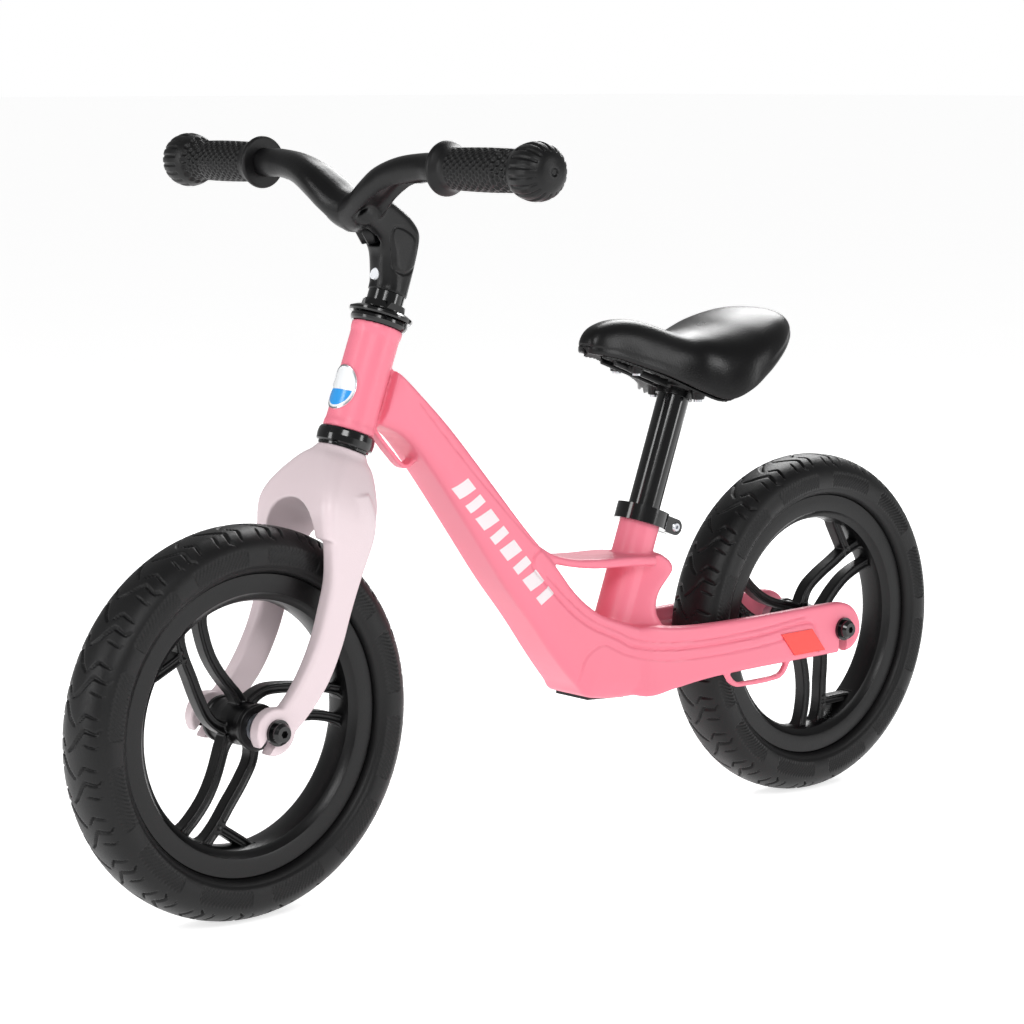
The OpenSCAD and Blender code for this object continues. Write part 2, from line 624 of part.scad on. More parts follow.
module seat_post() color(gloss_black) on_seat(post_base_s) difference() {
    cylinder(r = post_r, h = post_top_s - post_base_s, $fn = smooth);
    translate([0, 0, -1]) cylinder(r = post_r - 1.6, h = 300, $fn = smooth);
}
module seat_post_plug() color(soft_black) on_seat(post_base_s - 2) union() {
    cylinder(r = post_r - 0.3, h = 2, $fn = smooth);
    cylinder(r = post_r - 1.6, h = 12, $fn = smooth);
}
module saddle_collar() color(soft_black) on_seat(collar_s) tube(16, post_r, collar_h);
module saddle_screws() color(steel) for (at = [[-92, 12, 387.2], [-150, 26, 362.2]])
    mirrored_y() translate([at[0], at[1], at[2] + saddle_lift]) union() {
        cylinder(r = 2, h = 4, $fn = smooth);
        translate([0, 0, -2]) cylinder(r = 3.6, h = 3.5, $fn = smooth);
    }

frame_moulding();
headset_upper_cup();
headset_lower_cup();
headset_upper_bearing();
headset_lower_bearing();
head_badge();
reflector_left();
reflector_right();
belly_pad();
seat_clamp();
seat_clamp_bolt();
seat_clamp_nut();
rear_axle();
rear_axle_bolts();
rear_washers();
rear_spacers();
fork();
steerer_tube();
crown_race();
headset_top_race();
lock_washer();
lock_nut();
steerer_spacer();
handlebar();
stem_bolt();
stem_plug();
grip_left();
grip_right();
front_axle();
front_axle_bolts();
front_washers();
front_spacers();
front_rim();
front_tyre();
front_bearing_left();
front_bearing_right();
front_hub_sleeve();
rear_rim();
rear_tyre();
rear_bearing_left();
rear_bearing_right();
rear_hub_sleeve();
seat_post();
seat_post_plug();
saddle_collar();
saddle_shell();
saddle_cover();
saddle_screws();
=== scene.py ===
"""A child's balance bike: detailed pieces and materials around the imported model."""
import json
import math

import bmesh
import bpy
import numpy as np
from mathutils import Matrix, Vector
from mathutils.bvhtree import BVHTree


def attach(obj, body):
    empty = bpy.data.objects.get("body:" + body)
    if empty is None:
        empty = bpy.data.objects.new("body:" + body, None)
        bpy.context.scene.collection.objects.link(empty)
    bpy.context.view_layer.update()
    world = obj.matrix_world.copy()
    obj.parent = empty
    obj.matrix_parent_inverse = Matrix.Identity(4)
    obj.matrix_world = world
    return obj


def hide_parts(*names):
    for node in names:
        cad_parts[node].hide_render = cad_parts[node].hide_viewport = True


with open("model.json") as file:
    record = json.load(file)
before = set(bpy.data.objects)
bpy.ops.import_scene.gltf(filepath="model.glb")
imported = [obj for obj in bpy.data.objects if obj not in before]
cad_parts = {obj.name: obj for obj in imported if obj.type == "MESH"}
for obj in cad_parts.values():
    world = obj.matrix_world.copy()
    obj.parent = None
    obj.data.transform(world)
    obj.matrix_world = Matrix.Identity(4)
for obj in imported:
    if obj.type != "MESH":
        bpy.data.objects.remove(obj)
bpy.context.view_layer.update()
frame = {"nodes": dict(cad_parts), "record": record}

MM = 0.001
NODES = frame["nodes"]

# ---------------------------------------------------------------- driving places, in millimetres
WHEEL_R = 150.0
FRONT_X = 311.0
REAR_X = -311.0
HEAD_ANGLE = math.radians(69.0)
HEAD_BASE = (204.8, 360.8)      # side-view point at the lower end of the head tube
HEAD_LEN = 84.7
SEAT_ANGLE = math.radians(69.3)
SEAT_TOP = (-111.6, 268.0)      # side-view point at the upper end of the seat tube
GRIP = (199.0, 563.0)           # side-view point of the grips' axis
GRIP_START = 108.0
FORK_FACE = 46.5                # outer face of each fork blade, from the middle plane
FORK_INNER = 35.5

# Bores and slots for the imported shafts
STEERER_R = 12.7
CUP_HOLE_R = 17.0
POST_HOLE_R = 13.65
SADDLE_HOLE_R = 13.6
AXLE_SLOT_R = 5.1

CRISP = math.radians(38)        # edges bent by more than this stay sharp


def steer(s, u=0.0):
    """Side-view point at distance s up the steering axis and u ahead of it."""
    return (HEAD_BASE[0] - s * math.cos(HEAD_ANGLE) + u * math.sin(HEAD_ANGLE),
            HEAD_BASE[1] + s * math.sin(HEAD_ANGLE) + u * math.cos(HEAD_ANGLE))


def seat(s, u=0.0):
    """Side-view point at distance s up the seat axis and u ahead of it."""
    return (SEAT_TOP[0] - s * math.cos(SEAT_ANGLE) + u * math.sin(SEAT_ANGLE),
            SEAT_TOP[1] + s * math.sin(SEAT_ANGLE) + u * math.cos(SEAT_ANGLE))


STEER_AXIS = (-math.cos(HEAD_ANGLE), 0, math.sin(HEAD_ANGLE))
STEER_AHEAD = (math.sin(HEAD_ANGLE), 0, math.cos(HEAD_ANGLE))
SEAT_AXIS = (-math.cos(SEAT_ANGLE), 0, math.sin(SEAT_ANGLE))
SEAT_AHEAD = (math.sin(SEAT_ANGLE), 0, math.cos(SEAT_ANGLE))


# ---------------------------------------------------------------- curves and sections
def spline_table(rows, steps):
    """Rows of numbers, passed through by a smooth curve with that many steps between rows."""
    p = np.asarray(rows, float)
    out = []
    for i in range(len(p) - 1):
        a, b, c, d = p[max(i - 1, 0)], p[i], p[i + 1], p[min(i + 2, len(p) - 1)]
        for k in range(steps):
            t = k / steps
            out.append(0.5 * (2 * b + (c - a) * t + (2 * a - 5 * b + 4 * c - d) * t ** 2
                              + (3 * b - a - 3 * c + d) * t ** 3))
    return np.array(out + [p[-1]])


def evenly(section, count):
    """The same section as that many points at even distances along it."""
    section = np.asarray(section)
    step = np.concatenate([[0], np.cumsum(np.linalg.norm(np.diff(section, axis=0), axis=1))])
    even = np.linspace(0, step[-1], count)
    return np.stack([np.interp(even, step, section[:, 0]), np.interp(even, step, section[:, 1])], 1)


def rounded(a, b, r, k):
    """Points of a rounded rectangle of half sizes a and b, with k points at each corner."""
    r = min(r, a - 0.01, b - 0.01)
    pts = []
    for q, (sx, sy) in enumerate(((1, 1), (-1, 1), (-1, -1), (1, -1))):
        for i in range(k):
            t = math.radians(90 * q + 90 * i / (k - 1))
            pts.append((sx * (a - r) + r * math.cos(t), sy * (b - r) + r * math.sin(t)))
    return pts


def side_ring(top, bottom, y, w, r, k):
    """A ring across Y between two side-view points."""
    top, bottom = np.asarray(top, float), np.asarray(bottom, float)
    half = np.linalg.norm(top - bottom) / 2
    up = (top - bottom) / (2 * half)
    mid = (top + bottom) / 2
    return [(mid[0] + up[0] * q, y - p, mid[1] + up[1] * q) for p, q in rounded(w, half, r, k)]


def ribbon(line, half):
    """The outline of a flat strip of that half width along a side-view line."""
    p = np.asarray(line, float)
    d = np.gradient(p, axis=0)
    normal = np.stack([-d[:, 1], d[:, 0]], 1) / np.linalg.norm(d, axis=1)[:, None]
    return [tuple(q) for q in np.concatenate([p + normal * half, (p - normal * half)[::-1]])]


def soft_step(x, low, high):
    """0 below low, 1 above high, and a smooth rise between them."""
    t = np.clip((x - low) / (high - low), 0, 1)
    return t * t * (3 - 2 * t)


def distance_to(points, line):
    """Distance in side view from each point to a line of points."""
    best = np.full(len(points), 1e9)
    for a, b in zip(np.asarray(line, float)[:-1], np.asarray(line, float)[1:]):
        d = b - a
        t = np.clip(((points - a) @ d) / (d @ d), 0, 1)
        best = np.minimum(best, np.linalg.norm(points - a - t[:, None] * d, axis=1))
    return best


# ---------------------------------------------------------------- parts: points and faces
def loft(rings):
    """A closed skin over rings with as many points each."""
    rings = np.asarray(rings, float)
    m, n = rings.shape[:2]
    faces = [(i * n + j, i * n + (j + 1) % n, (i + 1) * n + (j + 1) % n, (i + 1) * n + j)
             for i in range(m - 1) for j in range(n)]
    faces += [tuple(range(n - 1, -1, -1)), tuple((m - 1) * n + j for j in range(n))]
    return rings.reshape(-1, 3), faces


def turned(section, steps, closed, origin, axis_x=(1, 0, 0), axis_y=(0, 0, 1), axis_z=(0, 1, 0)):
    """A lathe: section is (radius, along) pairs, turned about axis_z through origin."""
    sec = np.asarray(section, float)
    ang = np.arange(steps) * 2 * math.pi / steps
    ux, uy, uz = (np.asarray(v, float) for v in (axis_x, axis_y, axis_z))
    ring = np.cos(ang)[:, None] * ux + np.sin(ang)[:, None] * uy
    pts = (np.asarray(origin, float) + sec[None, :, 0, None] * ring[:, None, :]
           + sec[None, :, 1, None] * uz).reshape(-1, 3)
    n = len(sec)
    last = n if closed else n - 1
    faces = [(i * n + j, i * n + (j + 1) % n, ((i + 1) % steps) * n + (j + 1) % n, ((i + 1) % steps) * n + j)
             for i in range(steps) for j in range(last)]
    return pts, faces


def on_steer(section):
    """A closed section turned about the steering axis."""
    return turned(section, 96, True, (HEAD_BASE[0], 0, HEAD_BASE[1]), STEER_AHEAD, (0, 1, 0), STEER_AXIS)


def on_seat(section):
    """A closed section turned about the seat axis."""
    return turned(section, 96, True, (SEAT_TOP[0], 0, SEAT_TOP[1]), SEAT_AHEAD, (0, 1, 0), SEAT_AXIS)


def plate(outline, y0, y1):
    """A side-view outline as a plate from y0 to y1."""
    return loft([[(x, y, z) for x, z in outline] for y in (y0, y1)])


def rod(start, end, r, steps=32):
    """A round bar between two points."""
    start, end = Vector(start), Vector(end)
    axis = (end - start).normalized()
    ux = axis.orthogonal().normalized()
    uy = axis.cross(ux)
    rings = [[tuple(c + r * (math.cos(t) * ux + math.sin(t) * uy))
              for t in np.arange(steps) * 2 * math.pi / steps] for c in (start, end)]
    return loft(rings)


def bore(axis, low, high, r):
    """A round bar along the steering or seat axis, given as its side-view function."""
    a, b = axis(low), axis(high)
    return rod((a[0], 0, a[1]), (b[0], 0, b[1]), r, 64)


def mirrored(part):
    """The same part on the other side of the middle plane."""
    verts, faces = part
    verts = np.array(verts, float)
    verts[:, 1] *= -1
    return verts, [tuple(reversed(f)) for f in faces]


def joined(parts):
    """Several parts as one."""
    verts, faces, start = [], [], 0
    for v, f in parts:
        verts.append(np.asarray(v, float))
        faces += [tuple(i + start for i in face) for face in f]
        start += len(v)
    return np.concatenate(verts), faces


# ---------------------------------------------------------------- mesh objects
def new_object(name, verts, faces):
    """A smooth mesh object from points in millimetres."""
    mesh = bpy.data.meshes.new(name)
    mesh.from_pydata((np.asarray(verts, float) * MM).tolist(), [], [list(map(int, f)) for f in faces])
    mesh.update()
    mesh.shade_smooth()
    obj = bpy.data.objects.new(name, mesh)
    bpy.context.scene.collection.objects.link(obj)
    return obj


def points_of(obj):
    """An object's points in millimetres."""
    co = np.empty(len(obj.data.vertices) * 3)
    obj.data.vertices.foreach_get("co", co)
    return co.reshape(-1, 3) / MM


def normals_of(obj):
    """An object's unit normals, one for each point."""
    no = np.empty(len(obj.data.vertices) * 3)
    obj.data.vertex_normals.foreach_get("vector", no)
    return no.reshape(-1, 3)


def set_points(obj, pts):
    """Moves an object's points to places in millimetres."""
    obj.data.vertices.foreach_set("co", (pts * MM).ravel())
    obj.data.update()


def settle(obj):
    """Applies an object's modifiers to its mesh."""
    graph = bpy.context.evaluated_depsgraph_get()
    mesh = bpy.data.meshes.new_from_object(obj.evaluated_get(graph))
    obj.modifiers.clear()
    old = obj.data
    obj.data = mesh
    bpy.data.meshes.remove(old)


def face_out(obj):
    """Makes every face of a closed mesh look outwards."""
    bm = bmesh.new()
    bm.from_mesh(obj.data)
    bmesh.ops.recalc_face_normals(bm, faces=bm.faces)
    bm.to_mesh(obj.data)
    bm.free()


def fused(name, parts, voxel, passes):
    """Closed parts melted into one moulding, with fillets that grow with the smoothing passes."""
    obj = new_object(name, *joined(parts))
    face_out(obj)
    melt = obj.modifiers.new("melt", "REMESH")
    melt.mode = "VOXEL"
    melt.voxel_size = voxel * MM
    fillet = obj.modifiers.new("fillet", "SMOOTH")
    fillet.factor = 0.5
    fillet.iterations = passes
    settle(obj)
    obj.data.shade_smooth()
    return obj


def carve(obj, cuts):
    """Crisp holes cut in a finished moulding."""
    cutter = new_object(obj.name + "_cut", *joined(cuts))
    face_out(cutter)
    cut = obj.modifiers.new("cut", "BOOLEAN")
    cut.operation = "DIFFERENCE"
    cut.solver = "EXACT"
    cut.object = cutter
    settle(obj)
    bpy.data.objects.remove(cutter)
    obj.data.shade_smooth()
    obj.data.set_sharp_from_angle(angle=CRISP)


def cut_part(part, cuts):
    """One closed part less its cuts."""
    obj = new_object("cut_part", *part)
    face_out(obj)
    carve(obj, cuts)
    verts = points_of(obj)
    faces = [tuple(p.vertices) for p in obj.data.polygons]
    bpy.data.objects.remove(obj)
    return verts, faces


def press_grooves(obj, grooves, face_from, face_range, within=1e9):
    """Presses (line, half width of the flat bottom, half width, depth) grooves into the faces that look
    sideways and lie within a distance of the middle plane."""
    pts, normals = points_of(obj), normals_of(obj)
    side = pts[:, [0, 2]]
    sideways = np.clip((np.abs(normals[:, 1]) - face_from) / face_range, 0, 1) * (np.abs(pts[:, 1]) < within)
    depth = np.zeros(len(pts))
    for line, flat, wide, deep in grooves:
        depth = np.maximum(depth, deep * (1 - soft_step(distance_to(side, line), flat, wide)))
    pts[:, 1] -= np.sign(pts[:, 1]) * depth * sideways
    set_points(obj, pts)


# ---------------------------------------------------------------- materials
NEAR_BLACK = 0.02
GLOSS_SPREAD = 0.06


def material(name, color, rough, grain=0.0, grain_scale=900.0, vary=0.04, vary_scale=14.0, metal=0.0,
             coat=0.0):
    """A moulded or coated surface: fine grain, slight mottling and uneven gloss."""
    mat = bpy.data.materials.new(name)
    mat.use_nodes = True
    nodes, links = mat.node_tree.nodes, mat.node_tree.links
    bsdf = nodes["Principled BSDF"]
    bsdf.inputs["Metallic"].default_value = metal
    bsdf.inputs["Coat Weight"].default_value = coat
    bsdf.inputs["Coat Roughness"].default_value = 0.12
    if max(color) < NEAR_BLACK:
        bsdf.inputs["Specular IOR Level"].default_value = 0.3

    where = nodes.new("ShaderNodeTexCoord")
    mottle = nodes.new("ShaderNodeTexNoise")
    mottle.inputs["Scale"].default_value = vary_scale
    mottle.inputs["Detail"].default_value = 6.0
    links.new(where.outputs["Object"], mottle.inputs["Vector"])

    tone = nodes.new("ShaderNodeValToRGB")
    for stop, position, share in zip(tone.color_ramp.elements, (0.35, 0.65), (1 - vary, 1 + vary)):
        stop.position = position
        stop.color = (*[min(1.0, c * share) for c in color], 1)
    links.new(mottle.outputs["Fac"], tone.inputs["Fac"])
    links.new(tone.outputs["Color"], bsdf.inputs["Base Color"])

    smudge = nodes.new("ShaderNodeMapRange")
    smudge.inputs["From Min"].default_value = 0.3
    smudge.inputs["From Max"].default_value = 0.7
    smudge.inputs["To Min"].default_value = max(0.02, rough - GLOSS_SPREAD)
    smudge.inputs["To Max"].default_value = min(1.0, rough + GLOSS_SPREAD)
    links.new(mottle.outputs["Fac"], smudge.inputs["Value"])
    links.new(smudge.outputs["Result"], bsdf.inputs["Roughness"])

    if grain:
        fine = nodes.new("ShaderNodeTexNoise")
        fine.inputs["Scale"].default_value = grain_scale
        fine.inputs["Detail"].default_value = 3.0
        links.new(where.outputs["Object"], fine.inputs["Vector"])
        bump = nodes.new("ShaderNodeBump")
        bump.inputs["Strength"].default_value = grain
        bump.inputs["Distance"].default_value = 0.0004
        links.new(fine.outputs["Fac"], bump.inputs["Height"])
        links.new(bump.outputs["Normal"], bsdf.inputs["Normal"])
    return mat


def srgb(r, g, b):
    """Linear values of an sRGB colour given from 0 to 255."""
    return tuple(((c / 255 + 0.055) / 1.055) ** 2.4 if c > 10 else c / 255 / 12.92 for c in (r, g, b))


PINK = material("moulded_pink", srgb(229, 119, 139), 0.42, grain=0.3, vary=0.015, coat=0.06)
PALE = material("moulded_pale_pink", srgb(218, 201, 205), 0.42, grain=0.3, vary=0.012, coat=0.06)
BLACK = material("moulded_black", srgb(8, 8, 9), 0.32, grain=0.25, vary=0.1)
GLOSS = material("gloss_black_coat", srgb(6, 6, 7), 0.14, grain=0.04, grain_scale=300.0, vary=0.15, coat=0.5)
STEEL = material("zinc_plated_steel", srgb(196, 198, 202), 0.28, grain=0.2, vary=0.08, metal=1.0)
TYRE = material("foam_tyre", srgb(9, 9, 10), 0.42, grain=0.4, grain_scale=1500.0, vary=0.12)
RUBBER = material("soft_rubber", srgb(8, 8, 9), 0.4, grain=0.3, grain_scale=1200.0, vary=0.1)
SKIN = material("saddle_skin", srgb(8, 8, 9), 0.32, grain=0.4, grain_scale=700.0, vary=0.08)
RED = material("reflector_sheet", srgb(233, 36, 20), 0.22, grain=0.4, grain_scale=500.0, vary=0.06, coat=0.5)
BADGE = material("badge_face", srgb(236, 238, 240), 0.25, vary=0.01, coat=0.3)
DECAL = material("decal_white", srgb(226, 216, 219), 0.35, grain=0.1, vary=0.01)
BLUE = material("badge_blue", srgb(40, 150, 225), 0.25, vary=0.02, coat=0.3)
PLUG = material("plug_plastic", srgb(228, 230, 234), 0.3, vary=0.02)

SLOT_LOOKS = {"frame_plastic": PINK, "fork_plastic": PALE, "black_plastic": BLACK, "black_metal": GLOSS,
              "steel": STEEL, "tyre_foam": TYRE, "grip_rubber": RUBBER, "saddle_skin": SKIN,
              "reflector_red": RED, "badge_face": BADGE, "plug_plastic": PLUG}
for part in frame["record"]["subparts"]:
    for holder in NODES[part["node"]].material_slots:
        holder.material = SLOT_LOOKS[part["material_slot"]]


def finish_piece(obj, mat, body, slot_name, *nodes):
    """Material, body and the nodes that a piece stands for, which are hidden; slot_name is not used."""
    obj.data.materials.clear()
    obj.data.materials.append(mat)
    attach(obj, body)
    if nodes:
        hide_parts(*nodes)


# ---------------------------------------------------------------- camera, floor and light
def add_camera():
    """A long lens ahead of the bike, on its left, aimed a little down."""
    data = bpy.data.cameras.new("camera")
    data.lens = 103.42
    data.sensor_width = 36.0
    data.clip_start = 0.05
    cam = bpy.data.objects.new("camera", data)
    cam.location = (1.6046, 1.7404, 0.6287)
    look = Vector((-0.6623, -0.7348, -0.1462))
    cam.rotation_euler = look.to_track_quat("-Z", "Y").to_euler()
    bpy.context.scene.collection.objects.link(cam)
    bpy.context.scene.camera = cam


def add_floor():
    """A wide white floor that glows a little, so that it meets the white room."""
    reach = 80.0
    corners = [(-reach, -reach, 0), (reach, -reach, 0), (reach, reach, 0), (-reach, reach, 0)]
    mesh = bpy.data.meshes.new("floor")
    mesh.from_pydata(corners, [], [(0, 1, 2, 3)])
    floor = bpy.data.objects.new("floor", mesh)
    bpy.context.scene.collection.objects.link(floor)
    mat = material("floor_white", (0.9, 0.9, 0.9), 0.7, vary=0.005, vary_scale=2.0)
    bsdf = mat.node_tree.nodes["Principled BSDF"]
    bsdf.inputs["Emission Color"].default_value = (1, 1, 1, 1)
    bsdf.inputs["Emission Strength"].default_value = 0.7
    mesh.materials.append(mat)


def add_light(name, place, target, size, power):
    """A rectangular lamp aimed at a target."""
    data = bpy.data.lights.new(name, "AREA")
    data.shape = "RECTANGLE"
    data.size, data.size_y = size
    data.energy = power
    lamp = bpy.data.objects.new(name, data)
    lamp.location = place
    lamp.rotation_euler = (Vector(target) - Vector(place)).to_track_quat("-Z", "Y").to_euler()
    bpy.context.scene.collection.objects.link(lamp)


def add_world():
    """A white room that lights the object more softly than it looks to the camera."""
    world = bpy.data.worlds.new("studio")
    world.use_nodes = True
    nodes, links = world.node_tree.nodes, world.node_tree.links
    back = nodes["Background"]
    back.inputs["Color"].default_value = (1, 1, 1, 1)
    ray = nodes.new("ShaderNodeLightPath")
    strength = nodes.new("ShaderNodeMapRange")
    strength.inputs["To Min"].default_value = 0.3
    strength.inputs["To Max"].default_value = 1.0
    links.new(ray.outputs["Is Camera Ray"], strength.inputs["Value"])
    links.new(strength.outputs["Result"], back.inputs["Strength"])
    bpy.context.scene.world = world
    bpy.context.scene.view_settings.view_transform = "Standard"


add_camera()
add_floor()
add_world()
add_light("key", (1.9, 2.2, 2.3), (0, 0, 0.25), (1.2, 1.2), 45)
add_light("rim", (-1.8, -1.2, 1.9), (0, 0, 0.3), (1.0, 1.8), 42)
add_light("side", (-1.2, 2.4, 0.9), (-0.1, 0, 0.3), (0.5, 1.4), 16)
add_light("front", (2.6, -0.6, 1.1), (0.1, 0, 0.3), (0.6, 1.6), 22)


# ---------------------------------------------------------------- frame
def frame_beam():
    """The down tube and the belly, square above and rounded off below."""
    wide = 23.0
    rows = [[168.4, 406.5, 183.2, 366, 19], [159, 397.5, 158, 352.5, wide - 1.5],
            [121.5, 361.5, 131, 321.5, wide - 0.3], [82.5, 319, 97, 277, wide], [42, 274, 62, 230, wide],
            [10, 241, 31, 193, wide + 0.5], [-14, 213, 6, 161, wide + 1.5], [-36, 195, -17, 135, wide + 4],
            [-54, 186.5, -31, 123.5, wide + 7], [-85, 176, -80, 120, wide + 11],
            [-112, 171, -110, 126, wide + 14], [-130, 168, -130, 131, wide + 16]]
    quarter = np.radians(np.linspace(0, 90, 9))
    corner = 4
    rings = []
    for row in spline_table(rows, 4):
        high, low, half = row[:2], row[2:4], row[4]
        tall = np.linalg.norm(high - low)
        up = (high - low) / tall
        shape = [(half - corner + corner * math.sin(a), tall - corner + corner * math.cos(a))
                 for a in quarter]
        deep, inset = min(17, tall * 0.42), min(8.5, half * 0.6)
        shape += [(half - inset + inset * math.cos(a), deep - deep * math.sin(a)) for a in quarter]
        shape += [(-p, q) for p, q in reversed(shape)]
        rings.append([(low[0] + up[0] * q, -p, low[1] + up[1] * q) for p, q in shape])
    return loft(rings)


def frame_stay():
    """One stay, from the belly back and round behind the axle."""
    rows = [[-58, 176, 127, 12, 25], [-85, 178, 118.5, 16, 36.5], [-112, 175, 122.5, 26, 42],
            [-135, 174, 126, 33, 45.5], [-160, 174, 128, 37, 47.5], [-200, 174, 129, 39, 49],
            [-250, 174, 129, 39, 49], [-298, 174, 129, 39, 49], [-312, 173, 129, 39, 49],
            [-323, 169, 130.5, 39, 49], [-330, 162, 136, 39, 49], [-334, 154, 143, 39, 49]]
    return loft([side_ring((x, high), (x, low), (outer + inner) / 2, (outer - inner) / 2, 3.6, 6)
                 for x, high, low, inner, outer in spline_table(rows, 4)])


def stay_loop():
    """The strap loop under one stay."""
    line = spline_table([[-166, 134], [-171, 124], [-179, 118.2], [-192, 117.2], [-222, 117.2],
                         [-234, 119], [-241, 126], [-244, 134]], 5)
    return plate(ribbon(line, 2.1), 42.5, 47.5)


def front_loop():
    """The strap loop behind the head tube."""
    line = spline_table([[186, 366], [174.6, 352.5], [165, 342], [156, 332.8], [150, 330], [142, 334],
                         [134, 341]], 5)
    return plate(ribbon(line, 1.8), -5.5, 5.5)


def seat_web():
    """The web that flares from the seat tube down to the stays."""
    rows = [[150, -125, 33], [164, -122, 33], [174, -115, 30], [184, -111, 26], [194, -112, 24],
            [204, -116, 24], [214, -124, 25.5], [221, -129, 26], [228, -126, 25.5], [234.5, -117, 24]]
    rings = []
    for z, rear, half in spline_table(rows, 3):
        front = SEAT_TOP[0] + (SEAT_TOP[1] - z) / math.tan(SEAT_ANGLE) + 3
        line = [(front, 14.5), ((front + rear) / 2 + 2, (14.5 + half) / 2 + 2.5), (rear + 9, half),
                (rear + 3, half - 5), (rear, half - 13)]
        line = [tuple(q) for q in spline_table(line, 4)]
        rings.append([(x, y, z) for x, y in line] + [(x, -y, z) for x, y in reversed(line)])
    return loft(rings)


def shelf():
    """The thin shelf from the down tube to the seat tube."""
    top = spline_table([[24, 256], [8, 247], [-14, 241], [-45, 238], [-80, 236.5], [-104, 234]], 6)
    low = spline_table([[20, 243], [12, 240.5], [-12, 234.5], [-39, 230.5], [-80, 228.5], [-104, 226]], 6)
    half = np.interp(top[:, 0], [-108, -85, -45, 0, 30], [25, 27, 25, 22, 21])
    return loft([side_ring(a, b, 0, h, 2.6, 6) for a, b, h in zip(top, low, half)])


def head_tube():
    """A tube with a raised band at each end."""
    return on_steer([(CUP_HOLE_R, 0), (19.4, 0), (20, 0.8), (20, 5), (19.4, 6.6), (19.2, 8), (19.2, 76.5),
                     (19.5, 78), (20, 79.5), (20, 84), (19.4, HEAD_LEN), (CUP_HOLE_R, HEAD_LEN)])


def seat_tube():
    """A plain tube with a rounded lip."""
    return on_seat([(POST_HOLE_R, -100), (17, -100), (17, -0.6), (16.4, 0), (POST_HOLE_R, 0)])


def panel_grooves():
    """The lines of the raised panels on the frame's sides."""
    first = spline_table([(22, 254), (31, 250), (34, 243), (31, 237), (19, 225), (-5, 201), (-28, 184),
                          (-55, 171), (-70, 163), (-97, 158), (-135, 156), (-200, 157), (-265, 161),
                          (-276, 152), (-280, 135)], 4)
    upper = spline_table([(19, 231.5), (-8, 206.5), (-30, 189.5), (-56, 177), (-73, 169), (-98, 164),
                          (-135, 162), (-200, 163), (-262, 167)], 4)
    ridge = spline_table([(31, 258), (83, 309), (122, 350), (150, 381)], 3)
    belly = spline_table([(-21, 127), (-16, 138), (-21, 158), (-40, 168), (-62, 158), (-95, 149),
                          (-135, 147), (-200, 148), (-262, 152)], 4)
    sizes = ((first, 2.0, 1.3), (upper, 1.5, 0.9), (ridge, 1.4, 0.7), (belly, 1.8, 0.9))
    return [(line, wide * 0.25, wide, deep) for line, wide, deep in sizes]


def build_frame():
    """The frame moulding, with its grooves pressed in and its bores and axle slots cut."""
    stay, loop = frame_stay(), stay_loop()
    parts = [frame_beam(), stay, mirrored(stay), loop, mirrored(loop), seat_web(), shelf(), front_loop(),
             head_tube(), seat_tube()]
    obj = fused("frame_shell", parts, 1.15, 5)
    press_grooves(obj, panel_grooves(), 0.5, 0.3)
    carve(obj, [bore(steer, -3, 88, CUP_HOLE_R), bore(seat, -135, 4, POST_HOLE_R)])
    slot = [(REAR_X + AXLE_SLOT_R * math.cos(t), WHEEL_R + AXLE_SLOT_R * math.sin(t))
            for t in np.linspace(0, math.pi, 24)]
    below = 110
    slot += [(REAR_X - AXLE_SLOT_R, below), (REAR_X + AXLE_SLOT_R, below)]
    carve(obj, [plate(slot, 34, 54), plate(slot, -54, -34)])
    finish_piece(obj, PINK, "frame", "frame_plastic", "frame_moulding")
    return obj


# ---------------------------------------------------------------- marks
def build_decal(shell):
    """Generic slanted bars on both sides of the down tube, laid on its surface."""
    tree = BVHTree.FromObject(shell, bpy.context.evaluated_depsgraph_get())
    start, end = np.array([112.0, 316.5]), np.array([13.0, 206.5])
    along = (end - start) / np.linalg.norm(end - start)
    across = np.array([along[1], -along[0]])
    bars = [(0, 17), (20, 12), (35, 19), (57, 12), (72, 18), (93, 12), (108, 19), (130, 12)]
    tall, slant, proud, buried = 8, 0.28, 0.18, 0.5
    cells = 14
    n = cells + 1
    grid = [(i * n + j, i * n + j + 1, (i + 1) * n + j + 1, (i + 1) * n + j)
            for i in range(cells) for j in range(cells)]
    edge = ([i * n for i in range(cells)] + [cells * n + j for j in range(cells)]
            + [(cells - i) * n + cells for i in range(cells)] + [cells - j for j in range(cells)])
    m = n * n
    faces = grid + [tuple(i + m for i in reversed(f)) for f in grid]
    faces += [(a, b, b + m, a + m) for a, b in zip(edge, edge[1:] + edge[:1])]

    def spot(s, u, v):
        """The place on side s of the tube, at u along the row of bars and v across it."""
        q = start + along * u + across * v
        hit = tree.ray_cast(Vector((q[0] * MM, s * 0.08, q[1] * MM)), Vector((0, -s, 0)))[0]
        return q[0], hit.y / MM, q[1]

    parts = []
    for s in (1, -1):
        for at, wide in bars:
            front, back = [], []
            for i in range(n):
                for j in range(n):
                    v = (j / cells * 2 - 1) * tall
                    u = at + i / cells * wide * (1 - slant) + (v + tall) / (2 * tall) * wide * slant
                    x, y, z = spot(s, u, v)
                    front.append((x, y + s * proud, z))
                    back.append((x, y - s * buried, z))
            parts.append((np.array(front + back), faces))
    obj = new_object("decal_bars", *joined(parts))
    face_out(obj)
    obj.data.set_sharp_from_angle(angle=CRISP)
    finish_piece(obj, DECAL, "frame", "badge_face")


